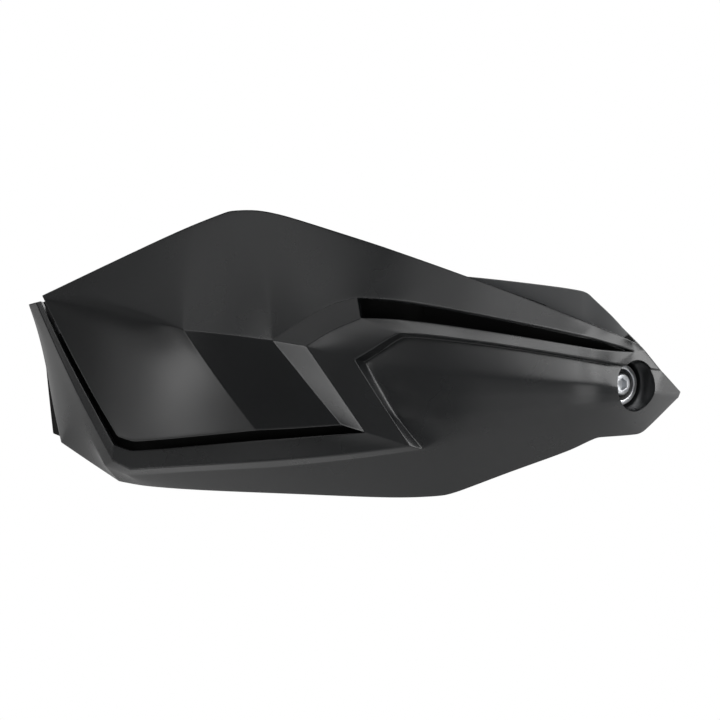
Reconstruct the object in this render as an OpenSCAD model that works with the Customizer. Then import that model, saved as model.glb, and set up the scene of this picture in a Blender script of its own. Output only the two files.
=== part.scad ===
// Motorcycle hand guard for the left end of a handlebar, with its bar-end fixing,
// inboard bar clamp and bracket. Millimetres. The origin is on the handlebar axis at
// the bar's end face; +X points outboard along the bar, -Y to the front and +Z up.

/* [Mouldings] */
// Length of the shell along its front, from the bolt hole to its inboard side
shell_length = 352; // [330:1:375]
// Height of the shell's peak above the bar's axis
shell_rise = 80; // [74:1:88]
// Depth of the shell's lower edge below the bar's axis
shell_drop = 58; // [54:1:64]
// Wall thickness of the main shell
wall = 2.6; // [2.2:0.1:3]
// Thickness of the inner frame moulding
frame_wall = 2.5; // [2:0.1:3]
// Thickness of the wind deflector
deflector_wall = 2.5; // [2:0.1:3]
// Outer diameter of the screw bosses behind the shell
boss_diameter = 7; // [6.5:0.1:8]

/* [Handlebar] */
// Outer diameter of the handlebar that the clamp holds
bar_diameter = 22.2; // [22:0.1:24]
// Inner diameter of the handlebar at its end
bar_bore = 14; // [13:0.1:16]

/* [Bar-end fixing] */
// Diameter of the bar-end bolt's shank
bolt_diameter = 6; // [5:0.5:6]
// Length of the spacer between bar and shell
spacer_length = 5; // [4:0.5:6]
// Outer diameter of the spacer
spacer_diameter = 22; // [18:0.5:24]
// Length of the rubber expander
expander_length = 24; // [18:1:30]
// Diameter of the recess floor around the bolt
recess_floor_diameter = 20; // [19.6:0.2:21]
// Diameter of the recess mouth in the shell
recess_mouth_diameter = 24; // [23:0.5:25]

/* [Inboard clamp] */
// Distance of the clamp's middle from the bar's end face
clamp_distance = 205; // [200:1:210]
// Width of the clamp along the bar
clamp_width = 18; // [16:1:22]
// Thickness of the bracket arm
arm_thickness = 6; // [5:0.5:7]
// Width of the bracket arm
arm_width = 22; // [18:1:24]

/* [Hidden] */
$fn = 48;
// Degrees in one radian
radian = 180 / PI;
// Straight pieces that each cell edge of a moulded surface is split into
cell_steps = 3;
// Extra thickness of the shell's nose around the bar-end bolt
nose_extra = 3.5;
// Seats of the bolted pieces along the bar axis
floor_back = spacer_length;
floor_front = floor_back + 2.5;
head_seat = floor_front + 1.5;
// Where the recess's cone ends and its straight mouth begins, and the cup behind it
mouth_start = 26;
cup_end = 21;
cup_floor_diameter = recess_floor_diameter + 5;
cup_end_diameter = recess_mouth_diameter + 4.4;
// Clearance of a bolt in its hole
bolt_play = 0.6;
bolt_head_height = 6;
bolt_head_diameter = bolt_diameter * 5 / 3;
cup_outer = recess_floor_diameter - 1;
cup_inner = 14.6;
cup_height = 6.5;
ring_height = 3.2;
sleeve_wall = 1.7;
sleeve_outer = bolt_diameter + bolt_play + 2 * sleeve_wall;
sleeve_play = 0.2;
// Expander in the bar's bore: play to the bore, thickness of its washer and height of its nut
expander_play = 0.4;
expander_washer_thickness = 1.5;
expander_nut_height = 8;
bolt_length = head_seat + expander_length + expander_nut_height + 3;
// Depth in w of the deflector's front, and of the inner frame's front
deflector_front = -10.5;
frame_front = -15;
// How far a screw pad stands proud of its moulding
pad_proud = 0.2;
screw_diameter = 3.9;
screw_hole = 4.1;
screw_head = 7.6;
small_screw_diameter = 2.9;
small_screw_hole = 3.1;
small_screw_head = 5.6;
// Station of the bracket on the inner frame, thickness of its seat there, and its flange
bracket_station = -240;
seat_thickness = 7;
bracket_seat = frame_front - seat_thickness;
flange_size = [34, 30];
flange_thickness = 6;
flange_drop = -6;
flange_bolt_edge = 7;
flange_bolts = [flange_bolt_edge - flange_size[0] / 2, flange_size[0] / 2 - flange_bolt_edge];
flange_bolt_length = flange_thickness + seat_thickness + 1;
m6_shank = 6;
m6_head = 10;
m6_head_height = 6;
m6_key = 5;
m6_nut_across = 10;
m6_nut_height = 5;
m6_clear = 6.6;
m6_bore = 6.1;
// Play of a nut across its pocket's flats, and of a screw in the moulding under its head
pocket_play = 0.2;
screw_play = 0.3;
// How far the seat stands out round the flange, and the floor under its nut pockets
seat_edge = [2, 3];
seat_size = flange_size + 2 * seat_edge;
pocket_floor = 2;
// Length of a drill or cutter that has to pass right through a piece
cutter_length = 40;
pivot_diameter = 8;
pivot_clear = 8.6;
pivot_across = 13;
pivot_head_height = 5.3;
pivot_nut_height = 6.5;
pivot_washer_thickness = 1.6;

// Plan of the shell: from the nose, a chain of arcs runs inboard, and one outboard.
// Each arc has its radius and the azimuths of its outward direction at its ends.
nose_azimuth = 96;
nose_radius = 45;
cheek_azimuth = 55;
cheek_radius = 200;
front_azimuth = 28;
front_radius = 640;
nose_point = [26, 0];
cheek_station = -nose_radius * (nose_azimuth - cheek_azimuth) / radian;
front_station = cheek_station - cheek_radius * (cheek_azimuth - front_azimuth) / radian;

// The feature lines are drawn for these sizes of the shell. A change of its length moves what
// lies inboard of the front arc's start, and a change of its height what lies off the nose band.
drawn_length = 352;
drawn_rise = 80;
drawn_drop = 58;
nose_band = 26;
function at_length(s) =
    s > front_station ? s
    : front_station + (s - front_station) * (shell_length + front_station) / (drawn_length + front_station);
function at_height(z) =
    z > nose_band ? nose_band + (z - nose_band) * (shell_rise - nose_band) / (drawn_rise - nose_band)
    : z < -nose_band ? -nose_band + (z + nose_band) * (shell_drop - nose_band) / (drawn_drop - nose_band)
    : z;

function outward(azimuth) = [sin(azimuth), -cos(azimuth)];
tip_centre = nose_point - cheek_radius * outward(nose_azimuth);
nose_centre = nose_point - nose_radius * outward(nose_azimuth);
cheek_centre = nose_centre + (nose_radius - cheek_radius) * outward(cheek_azimuth);
front_centre = cheek_centre + (cheek_radius - front_radius) * outward(front_azimuth);

function azimuth_at(s) =
    s > 0 ? nose_azimuth + s * radian / cheek_radius
    : s > cheek_station ? nose_azimuth + s * radian / nose_radius
    : s > front_station ? cheek_azimuth + (s - cheek_station) * radian / cheek_radius
    : front_azimuth + (s - front_station) * radian / front_radius;
function centre_at(s) =
    s > 0 ? tip_centre
    : s > cheek_station ? nose_centre
    : s > front_station ? cheek_centre
    : front_centre;
function radius_at(s) =
    s > 0 ? cheek_radius
    : s > cheek_station ? nose_radius
    : s > front_station ? cheek_radius
    : front_radius;
function rounded(x) = round(x * 1000) / 1000;

// A shell point [s, z, w]: station along the plan, height, and relief off the plan.
function placed(p) =
    let (
        s = at_length(p[0]),
        flat = centre_at(s) + (radius_at(s) + p[2]) * outward(azimuth_at(s))
    )
    [rounded(flat[0]), rounded(flat[1]), rounded(at_height(p[1]))];

// Puts local +Z along the shell's outward direction at a shell point, local +Y up.
module at_station(p) {
    translate(placed(p))
        rotate([90, 0, azimuth_at(at_length(p[0]))])
            children();
}

// Puts local +Z along the bar's axis, starting x from the bar's end face.
module along_bar(x) {
    translate([x, 0, 0])
        rotate([0, 90, 0])
            children();
}

function mix(a, b, t) = a + (b - a) * t;
function mixed(row_a, row_b, t) = [for (i = [0 : len(row_a) - 1]) mix(row_a[i], row_b[i], t)];
function total(list) = len(list) == 0 ? [0, 0, 0] : [for (i = [0 : 2]) sum_of([for (v = list) v[i]])];
function sum_of(list) = list * [for (v = list) 1];

// Cells between two rows of shell points, both listed from the nose inboard.
function strip(upper, lower) =
    [for (i = [0 : len(upper) - 2]) [upper[i], upper[i + 1], lower[i + 1], lower[i]]];
function cell_normal(q) =
    let (n = cross(q[2] - q[0], q[3] - q[1]), size = norm(n))
    size > 0.001 ? n / size : [0, 0, 0];
function real_cells(cells) = [for (q = cells) if (norm(cell_normal(q)) > 0) q];

// Point behind a shell point, set back square to the cells that meet there.
function behind(p, cells, thick, nose) =
    let (
        normals = [for (q = cells) if (q[0] == p || q[1] == p || q[2] == p || q[3] == p) cell_normal(q)],
        sum = total(normals),
        n = sum / norm(sum),
        least = min([for (m = normals) m * n]),
        extra = nose * min(1, max(0, (p[0] + 30) / 15))
    )
    p - n * thick / max(least, 0.6) - [0, 0, extra];

function cell_edges(cells) =
    [for (q = cells) for (i = [0 : 3]) let (a = q[i], b = q[(i + 1) % 4]) if (a != b) [a, b]];
function open_edges(edges) =
    [for (e = edges) if (len([for (f = edges) if (f[0] == e[1] && f[1] == e[0]) 1]) == 0) e];

// Grid of points over one cell, split m by n, and the triangles of such a grid.
function cell_points(q, m, n) =
    [for (j = [0 : n]) for (i = [0 : m])
        placed(mix(mix(q[0], q[1], i / m), mix(q[3], q[2], i / m), j / n))];
function cell_faces(first, points, m, n) =
    [for (j = [0 : n - 1]) for (i = [0 : m - 1])
        let (a = j * (m + 1) + i, b = a + 1, c = b + m + 1, d = a + m + 1)
        each [for (t = [[c, b, a], [d, c, a]])
            if (points[t[0]] != points[t[1]] && points[t[1]] != points[t[2]] && points[t[2]] != points[t[0]])
            [first + t[0], first + t[1], first + t[2]]]];

// A moulding of even thickness whose front is a set of cells of shell points.
module moulding(front_cells, thick, nose = 0) {
    cells = real_cells(front_cells);
    backs = [for (q = cells) [for (i = [3, 2, 1, 0]) behind(q[i], cells, thick, nose)]];
    rims = [for (e = open_edges(cell_edges(cells)))
        [e[1], e[0], behind(e[0], cells, thick, nose), behind(e[1], cells, thick, nose)]];
    steps = cell_steps;
    face_points = [for (q = concat(cells, backs)) cell_points(q, steps, steps)];
    rim_points = [for (q = rims) cell_points(q, steps, 1)];
    face_size = (steps + 1) * (steps + 1);
    rim_size = (steps + 1) * 2;
    rim_first = len(face_points) * face_size;
    polyhedron(
        points = [for (set = concat(face_points, rim_points)) each set],
        faces = concat(
            [for (k = [0 : len(face_points) - 1])
                each cell_faces(k * face_size, face_points[k], steps, steps)],
            [for (k = [0 : len(rim_points) - 1])
                each cell_faces(rim_first + k * rim_size, rim_points[k], steps, 1)]
        )
    );
}

// Feature lines of the main shell, from the nose inboard, as [s, z, w].
// Edge of the raised panel: slot lip, corner, chevron side, bottom and inboard side.
panel_edge = [
    [5, 16, 0], [-3, 16, 0.5], [-20, 21, 1.5], [-30, 24.5, 2.5], [-64, 31.5, 4],
    [-109, 40, 4.5], [-133, 40, 5], [-145.5, 37.5, 6], [-160, 29.5, 8], [-174.5, 19.5, 11],
    [-162.5, 7, 10.5], [-151, -6, 9.5], [-139, -18.5, 9],
    [-161.4, -21.2, 9.6], [-183.7, -23.2, 10.5], [-223.6, -28.6, 8], [-262, -34, 5],
    [-273, -31.5, 5], [-287, -15.5, 5], [-307, 10.5, 5.5], [-325, 34.5, 6]
];
// Inner edge of the frame band, below the slot and outside the raised panel.
band_inner = [
    [5, 16, 0], [-3, 16, 0.5], [-19.3, 17.1, -2.2], [-29.8, 19.1, -2.8], [-64.6, 24.7, -3.8],
    [-112.9, 31.2, -4.2], [-136, 30.2, -4.2], [-150.4, 24.7, -3.2], [-157.4, 20.1, -2.2], [-163.4, 16.5, -0.8],
    [-153, 4, -0.5], [-142, -9.5, -0.5], [-131.5, -22.5, 0],
    [-161, -25.5, -1], [-192, -29, -1], [-231, -34, -1], [-270, -39.5, -1],
    [-281.5, -36.5, -1], [-297, -17, -1], [-315, 7.5, -1], [-331, 32.5, -1]
];
// Outer edge of the frame band.
band_outer = [
    [16, 7, -0.5], [-12, 10.5, 0], [-22, 12.5, 0], [-31, 14, 0], [-64, 19.5, 0],
    [-99, 23.5, 0], [-113.5, 24, 0], [-118.5, 22, 0], [-127, 16.5, 0], [-137, 11, 0],
    [-128, -1.5, 0], [-118, -15, 0], [-108.5, -28, 0],
    [-144.5, -34, 0], [-183, -38.5, 0], [-224, -43, 0], [-269, -48, 0],
    [-281, -44.5, 0], [-302.5, -18, 0], [-319, 4.5, 0], [-338, 31.5, 0]
];
// Foot of the small step outside the frame band.
step_foot = [
    [18, 6, -2], [-10.5, 9.5, -2.5], [-21, 11.5, -3], [-30, 13, -3], [-64.5, 18.5, -4],
    [-100.5, 22, -5], [-114, 22, -5.5], [-119, 20, -5.5], [-125.5, 15, -5.5], [-131.5, 9, -5.5],
    [-122, -2.7, -4.5], [-111.4, -16.4, -3], [-100.9, -29.7, -1.5],
    [-141, -36, -3], [-185, -42, -3], [-226.5, -46, -3], [-276, -51.5, -3],
    [-290, -47.5, -3], [-310.5, -20.5, -3], [-329, 4.5, -3], [-348, 30, -3]
];
// Rear edge of the return wall along the bottom and up the inboard side.
rear_edge = [
    [-99.5, -53.5, -17], [-135, -55, -18], [-180, -55.5, -17], [-225, -57, -16], [-270, -58, -14],
    [-290, -56.5, -13], [-333.7, -39.7, -12], [-341, -20, -12], [-349, 12, -12]
];
// Top edge of the shell, over the peak, to the inboard corner.
top_edge = [
    [2, 19, -0.5], [-4, 21, -0.5], [-15, 25.5, -1], [-24.5, 29, -1], [-48, 38.5, -2],
    [-88, 52.5, -4], [-117, 61, -7], [-139, 66.5, -10], [-175, 75, -14], [-199, 80.2, -16],
    [-218, 79.2, -15.5], [-242, 70, -9], [-270, 58, -3], [-292, 49, 1], [-327, 35.5, 5]
];
// Soft crease across the raised panel, from its corner to the inboard corner.
shoulder = [
    panel_edge[9], [-197.7, 21.7, 12.7], [-223, 23, 14],
    [-256.7, 31.1, 11], [-283.2, 35.1, 9.3], panel_edge[20]
];
// Rows across the raised panel's dark cheek and its inboard face.
cheek_rows = [
    [shoulder[0], shoulder[1], shoulder[2]],
    [panel_edge[10], [-187.4, 8.2, 11.8], [-211.1, 8.5, 13.3]],
    [panel_edge[11], [-174.4, -6.8, 11], [-197.4, -7.5, 12.2]],
    [panel_edge[12], panel_edge[13], panel_edge[14]]
];
inboard_rows = [
    [shoulder[2], shoulder[3], shoulder[4], panel_edge[20]],
    [cheek_rows[1][2], [-243.2, 11.3, 11.2], [-273, 12.2, 9], panel_edge[19]],
    [cheek_rows[2][2], [-231.3, -9.6, 9.8], [-261.1, -11.8, 8], panel_edge[18]],
    [panel_edge[14], panel_edge[15], panel_edge[16], panel_edge[17]]
];
// Belly crease, lower crease and bottom edge of the recessed outboard face.
tip = [36, -5, -3];
belly = [
    tip, [12, -2.5, 0.5], [-14, 1, 1], [-24, 2, 1], [-36, 3, 1], [-64, 5, 0],
    [-92, 6.5, -1.5], [-107, 7.5, -3], [-119, 8, -4], step_foot[9]
];
lower_crease = [
    [35, -7.5, -3.5], [11, -7, -0.5], [-16, -10, 0], [-25, -11.5, 0], [-37, -13.5, 0],
    [-62, -19, -0.5], [-73, -22, -1], [-81, -24, -1], [-88.5, -26, -1.4], step_foot[12]
];
bottom_edge = [
    [34, -8.5, -4.5], [12.9, -21.6, -6], [7.6, -23.7, -6.8], [-18.3, -22.9, -8.6], [-33, -29.5, -10.5],
    [-50, -35.5, -12.5], [-64, -40.5, -14], [-76, -45, -15], [-88, -49.5, -16], rear_edge[0]
];

function part_of(list, first, last) = [for (i = [first : last]) list[i]];
// Swaps the last point of a row for the one on the step beside it.
function ending(row, last) = concat(part_of(row, 0, len(row) - 2), [last]);
face_row_1 = ending(mixed(belly, lower_crease, 1 / 3), step_foot[10]);
face_row_2 = ending(mixed(belly, lower_crease, 2 / 3), step_foot[11]);

shell_cells = concat(
    strip(part_of(top_edge, 0, 9), part_of(panel_edge, 0, 9)),
    strip(part_of(top_edge, 9, 14), shoulder),
    [for (k = [0 : 2]) each strip(cheek_rows[k], cheek_rows[k + 1])],
    [for (k = [0 : 2]) each strip(inboard_rows[k], inboard_rows[k + 1])],
    strip(part_of(panel_edge, 6, 12), part_of(band_inner, 6, 12)),
    strip(band_inner, band_outer),
    strip(band_outer, step_foot),
    strip(concat([tip], part_of(step_foot, 0, 8)), belly),
    strip(belly, face_row_1),
    strip(face_row_1, face_row_2),
    strip(face_row_2, lower_crease),
    strip(lower_crease, bottom_edge),
    strip(part_of(step_foot, 12, 20), rear_edge)
);

// Bosses that the inner frame is screwed to, and those for the deflector.
// The third value is the relief of the shell's front face at the boss.
frame_bosses = [
    [-114, 47, -0.6], [-175, 52, -3.6], [-250, 47, 1.6],
    [-325, 18.5, -0.5], [-229, -38.5, -0.5], [-131, -10, 0]
];
deflector_bosses = [[-84, 45, -1.4], [-54, 35.5, -0.4], [-24, 26, 0]];
// A boss ends this far below that face, and its screw hole ends further below it.
boss_root = 2;
boss_hole_end = 4;

// The shell is one moulding. Its nose, behind this plane across Y, is a node of its own.
nose_plane = -16;
nose_cutter = 100;

module whole_shell() {
    difference() {
        union() {
            moulding(shell_cells, wall, nose_extra);
            for (b = frame_bosses)
                at_station([b[0], b[1], frame_front + pad_proud])
                    cylinder(d = boss_diameter, h = b[2] - boss_root - frame_front - pad_proud);
            for (b = deflector_bosses)
                at_station([b[0], b[1], deflector_front + pad_proud])
                    cylinder(d = boss_diameter - 1, h = b[2] - boss_root - deflector_front - pad_proud);
            along_bar(floor_back)
                cylinder(d1 = cup_floor_diameter, d2 = cup_end_diameter, h = cup_end - floor_back);
        }
        for (b = frame_bosses)
            at_station([b[0], b[1], frame_front])
                cylinder(d = screw_hole, h = b[2] - boss_hole_end - frame_front);
        for (b = deflector_bosses)
            at_station([b[0], b[1], deflector_front])
                cylinder(d = small_screw_hole, h = b[2] - boss_hole_end - deflector_front);
        along_bar(floor_front)
            cylinder(
                d1 = recess_floor_diameter, d2 = recess_mouth_diameter, h = mouth_start - floor_front
            );
        along_bar(mouth_start)
            cylinder(d = recess_mouth_diameter, h = 10);
        along_bar(floor_back - 1)
            cylinder(d = sleeve_outer + sleeve_play, h = 5);
    }
}

module nose_side() {
    translate([-nose_cutter / 4, nose_plane, -nose_cutter / 2])
        cube(nose_cutter);
}

module main_shell() {
    color("#1b1c1d")
        difference() {
            whole_shell();
            nose_side();
        }
}

module shell_nose() {
    color("#1b1c1d")
        intersection() {
            whole_shell();
            nose_side();
        }
}

// Wind deflector: a plate behind the shell's upper edge that closes the slot's back.
deflector_top = [
    [11.5, 18, -9], [0, 26.5, -10], [-9.5, 33, -10], [-20.5, 40, deflector_front],
    [-23, 42.5, deflector_front], [-28, 44, deflector_front], [-53, 47, deflector_front],
    [-83, 50, deflector_front], [-106, 51, deflector_front]
];
deflector_bottom = [
    [8, 15, -9.5], [-2, 14.2, -11], [-10, 14.5, -11.5], [-20, 14, -10.7],
    [-25, 13.5, deflector_front], [-31, 14, deflector_front], [-58, 17, deflector_front],
    [-85, 20, deflector_front], [-106, 24, deflector_front]
];

module wind_deflector() {
    color("#232425")
        difference() {
            union() {
                moulding(strip(deflector_top, deflector_bottom), deflector_wall);
                for (b = deflector_bosses)
                    at_station([b[0], b[1], deflector_front - deflector_wall - pad_proud])
                        cylinder(d = boss_diameter + 1, h = deflector_wall + 2 * pad_proud);
            }
            for (b = deflector_bosses)
                at_station([b[0], b[1], deflector_front - 5])
                    cylinder(d = small_screw_hole + screw_play, h = 10);
        }
}

// Inner frame: the stiff moulding behind the vents that carries the shell.
frame_rows = [
    [[-88, 42], [-120, 52], [-160, 58], [-200, 62], [-240, 57], [-285, 45], [-331, 36], [-349, 28.5]],
    [[-92, 10], [-118, 8], [-155, 6], [-195, 5], [-235, 4], [-280, 2], [-327, -1], [-352.3, 6.1]],
    [[-96, -20], [-116, -33], [-150, -44], [-190, -45], [-230, -46], [-275, -46], [-312, -42], [-344.3, -36]]
];
function at_depth(row, w) = [for (p = row) [p[0], p[1], w]];

module inner_frame() {
    rows = [for (row = frame_rows) at_depth(row, frame_front)];
    color("#151515")
        difference() {
            union() {
                moulding(concat(strip(rows[0], rows[1]), strip(rows[1], rows[2])), frame_wall);
                for (b = frame_bosses)
                    at_station([b[0], b[1], frame_front - frame_wall - pad_proud])
                        cylinder(d = boss_diameter + 2, h = frame_wall + 2 * pad_proud);
                at_station([bracket_station, 0, bracket_seat])
                    translate([-seat_size[0] / 2, -seat_size[1] / 2, 0])
                        cube([seat_size[0], seat_size[1], frame_front - bracket_seat]);
            }
            for (b = frame_bosses)
                at_station([b[0], b[1], frame_front - 5])
                    cylinder(d = screw_hole + screw_play, h = 10);
            for (side = flange_bolts)
                at_station([bracket_station, 0, bracket_seat])
                    translate([side, flange_drop, 0]) {
                        translate([0, 0, -1])
                            cylinder(d = m6_clear, h = 10);
                        translate([0, 0, pocket_floor])
                            cylinder(d = (m6_nut_across + pocket_play) / cos(30), h = 10, $fn = 6);
                    }
        }
}

// Pan head screw: head behind its seat, shank forward of it, cross recess.
module pan_screw(diameter, head, head_height, length) {
    difference() {
        union() {
            translate([0, 0, -head_height])
                cylinder(d1 = head - 1, d2 = head, h = head_height);
            cylinder(d = diameter, h = length - 1);
            translate([0, 0, length - 1])
                cylinder(d1 = diameter, d2 = diameter - 1.2, h = 1);
        }
        for (turn = [0, 90])
            rotate([0, 0, turn])
                translate([-head / 3.4, -head / 16, -head_height - 1])
                    cube([head / 1.7, head / 8, 2.4]);
    }
}

module frame_screw(k) {
    b = frame_bosses[k];
    color("#3a3b3d")
        at_station([b[0], b[1], frame_front - frame_wall - pad_proud])
            pan_screw(screw_diameter, screw_head, 2.6, 10);
}

module deflector_screw(k) {
    b = deflector_bosses[k];
    color("#3a3b3d")
        at_station([b[0], b[1], deflector_front - deflector_wall - pad_proud])
            pan_screw(small_screw_diameter, small_screw_head, 2, 7);
}

// Socket head bolt from its bearing face: head on local +Z, shank on local -Z.
module socket_bolt(diameter, head, head_height, across, length) {
    difference() {
        union() {
            cylinder(d = head, h = head_height - 0.5);
            translate([0, 0, head_height - 0.5])
                cylinder(d1 = head, d2 = head - 1, h = 0.5);
            translate([0, 0, 1 - length])
                cylinder(d = diameter, h = length - 1);
            translate([0, 0, -length])
                cylinder(d1 = diameter - 1.4, d2 = diameter, h = 1);
        }
        translate([0, 0, head_height - 3.2])
            cylinder(d = across / cos(30), h = 5, $fn = 6);
    }
}

// Hex nut or hex bolt head over its bore, from z = 0 up.
module hex_nut(across, bore, height) {
    difference() {
        cylinder(d = across / cos(30), h = height, $fn = 6);
        translate([0, 0, -1])
            cylinder(d = bore, h = height + 2);
    }
}

module ring(outer, inner, height) {
    difference() {
        cylinder(d = outer, h = height);
        translate([0, 0, -1])
            cylinder(d = inner, h = height + 2);
    }
}

module bar_end_bolt() {
    color("#b9bcc0")
        along_bar(head_seat)
            socket_bolt(bolt_diameter, bolt_head_diameter, bolt_head_height, 5, bolt_length);
}

module cup_washer() {
    color("#c9ccd0")
        along_bar(floor_front)
            difference() {
                cylinder(d = cup_outer, h = cup_height);
                translate([0, 0, head_seat - floor_front])
                    cylinder(d = cup_inner, h = 10);
                translate([0, 0, -1])
                    cylinder(d = bolt_diameter + bolt_play, h = 10);
            }
}

module cup_ring() {
    color("#111111")
        along_bar(head_seat)
            ring(cup_inner - 0.1, bolt_head_diameter + 0.4, ring_height);
}

module bar_end_sleeve() {
    color("#a9adb2")
        along_bar(spacer_length / 2)
            ring(sleeve_outer, bolt_diameter + bolt_play, floor_front - spacer_length / 2);
}

module bar_end_spacer() {
    color("#8f9398")
        along_bar(0)
            difference() {
                cylinder(d = spacer_diameter, h = spacer_length);
                translate([0, 0, -1])
                    cylinder(d = bolt_diameter + bolt_play, h = spacer_length + 2);
                translate([0, 0, spacer_length / 2])
                    cylinder(d = sleeve_outer + sleeve_play, h = spacer_length);
            }
}

module expander_washer() {
    color("#a9adb2")
        along_bar(-expander_washer_thickness)
            ring(bar_bore - expander_play, bolt_diameter + bolt_play, expander_washer_thickness);
}

module expander_rubber() {
    color("#161616")
        along_bar(-expander_washer_thickness - expander_length)
            ring(bar_bore - expander_play, bolt_diameter + bolt_play, expander_length);
}

module expander_nut() {
    color("#b49a5c")
        along_bar(-expander_washer_thickness - expander_length - expander_nut_height)
            ring(bar_bore - 2 * expander_play, bolt_diameter + 0.1, expander_nut_height);
}

// Inboard clamp: two halves round the bar, split at the plane through its axis.
clamp_gap = 1.2;
clamp_wall = 9;
clamp_bolt_offset = 8;
clamp_end = 7.5;
clamp_bolt_height = bar_diameter / 2 + clamp_bolt_offset;
clamp_half_height = clamp_bolt_height + clamp_end;
clamp_front = -bar_diameter / 2 - clamp_wall;
lug_length = 13;
lug_y = clamp_front - lug_length;
lug_half = 5;
lug_width = 20;
clamp_arch = 5;
clamp_ear = 9;

// Draws a shape of the bar's cross section, y to the rear and z up, over the clamp's width.
module over_clamp_width() {
    translate([-clamp_distance - clamp_width / 2, 0, 0])
        rotate([90, 0, 90])
            linear_extrude(clamp_width)
                children();
}

// Puts local +Z to the rear at one of the two clamp bolts.
module at_clamp_bolt(side, y) {
    translate([-clamp_distance, y, side * clamp_bolt_height])
        rotate([-90, 0, 0])
            children();
}

module clamp_base() {
    color("#2b2c2e")
        difference() {
            union() {
                over_clamp_width()
                    translate([clamp_front, -clamp_half_height])
                        square([-clamp_front - clamp_gap / 2, 2 * clamp_half_height]);
                translate([-clamp_distance - lug_width / 2, lug_y, -lug_half])
                    cube([lug_width, clamp_front - lug_y + 1, 2 * lug_half]);
                translate([-clamp_distance, lug_y, -lug_half])
                    cylinder(d = lug_width, h = 2 * lug_half);
            }
            clamp_bar_hole();
            for (side = [-1, 1]) {
                at_clamp_bolt(side, clamp_front - 1)
                    cylinder(d = m6_clear, h = cutter_length);
                at_clamp_bolt(side, clamp_front - 1)
                    cylinder(d = (m6_nut_across + pocket_play) / cos(30), h = 1 + m6_nut_height, $fn = 6);
            }
            translate([-clamp_distance, lug_y, -lug_half - 1])
                cylinder(d = pivot_clear, h = 2 * lug_half + 2);
        }
}

module clamp_bar_hole() {
    translate([-clamp_distance - clamp_width, 0, 0])
        rotate([0, 90, 0])
            cylinder(d = bar_diameter, h = 2 * clamp_width, $fn = 96);
}

module clamp_cap() {
    color("#2b2c2e")
        difference() {
            union() {
                over_clamp_width()
                    intersection() {
                        circle(r = bar_diameter / 2 + clamp_arch, $fn = 96);
                        translate([clamp_gap / 2, -cutter_length])
                            square([cutter_length, 2 * cutter_length]);
                    }
                over_clamp_width()
                    translate([clamp_gap / 2, -clamp_half_height])
                        square([clamp_ear - clamp_gap / 2, 2 * clamp_half_height]);
            }
            clamp_bar_hole();
            for (side = [-1, 1])
                at_clamp_bolt(side, -1)
                    cylinder(d = m6_clear, h = cutter_length);
        }
}

module clamp_bolt(side) {
    color("#b9bcc0")
        at_clamp_bolt(side, clamp_ear)
            socket_bolt(m6_shank, m6_head, m6_head_height, m6_key, clamp_ear - clamp_front);
}

module clamp_nut(side) {
    color("#b9bcc0")
        at_clamp_bolt(side, clamp_front)
            hex_nut(m6_nut_across, m6_bore, m6_nut_height);
}

// Bracket arm: flat bar on the clamp's lug, run forward to a flange on the inner frame.
arm_start = [-clamp_distance, lug_y];
arm_end = placed([bracket_station, 0, bracket_seat - flange_thickness / 2]);
arm_run = [arm_end[0], arm_end[1]] - arm_start;
arm_eye = 3;
flange_foot = 1;
pivot_end = 2.9;
pivot_length = 2 * lug_half + arm_thickness + pivot_washer_thickness + pivot_nut_height + pivot_end;

module bracket_arm() {
    color("#2b2c2e")
        difference() {
            union() {
                translate([arm_start[0], arm_start[1], lug_half])
                    cylinder(d = arm_width + arm_eye, h = arm_thickness);
                translate([arm_start[0], arm_start[1], lug_half])
                    rotate([0, 0, atan2(arm_run[1], arm_run[0])])
                        translate([0, -arm_width / 2, 0])
                            cube([norm(arm_run), arm_width, arm_thickness]);
                at_station([bracket_station, 0, bracket_seat - flange_thickness])
                    translate([-flange_size[0] / 2, -flange_size[1] / 2 - flange_foot, 0])
                        cube([flange_size[0], flange_size[1], flange_thickness]);
            }
            translate([arm_start[0], arm_start[1], 0])
                cylinder(d = pivot_clear, h = cutter_length);
            for (side = flange_bolts)
                at_station([bracket_station, 0, bracket_seat - cutter_length / 2])
                    translate([side, flange_drop, 0])
                        cylinder(d = m6_clear, h = cutter_length);
        }
}

module pivot_bolt() {
    color("#b9bcc0")
        translate([arm_start[0], arm_start[1], lug_half + arm_thickness + pivot_washer_thickness])
            difference() {
                union() {
                    cylinder(d = pivot_across / cos(30), h = pivot_head_height, $fn = 6);
                    translate([0, 0, -pivot_length])
                        cylinder(d = pivot_diameter, h = pivot_length);
                }
                translate([0, 0, pivot_head_height - 0.5])
                    cylinder(d = 9, h = 2);
            }
}

module pivot_washer() {
    color("#b9bcc0")
        translate([arm_start[0], arm_start[1], lug_half + arm_thickness])
            ring(16, pivot_diameter + 0.4, pivot_washer_thickness);
}

module pivot_nut() {
    color("#b9bcc0")
        translate([arm_start[0], arm_start[1], -lug_half - pivot_nut_height])
            hex_nut(pivot_across, pivot_diameter + 0.1, pivot_nut_height);
}

module flange_bolt(side) {
    color("#b9bcc0")
        at_station([bracket_station, 0, bracket_seat - flange_thickness])
            translate([side, flange_drop, 0])
                rotate([180, 0, 0])
                    socket_bolt(m6_shank, m6_head, m6_head_height, m6_key, flange_bolt_length);
}

module flange_nut(side) {
    color("#b9bcc0")
        at_station([bracket_station, 0, bracket_seat + pocket_floor])
            translate([side, flange_drop, 0])
                hex_nut(m6_nut_across, m6_bore, m6_nut_height);
}

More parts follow.
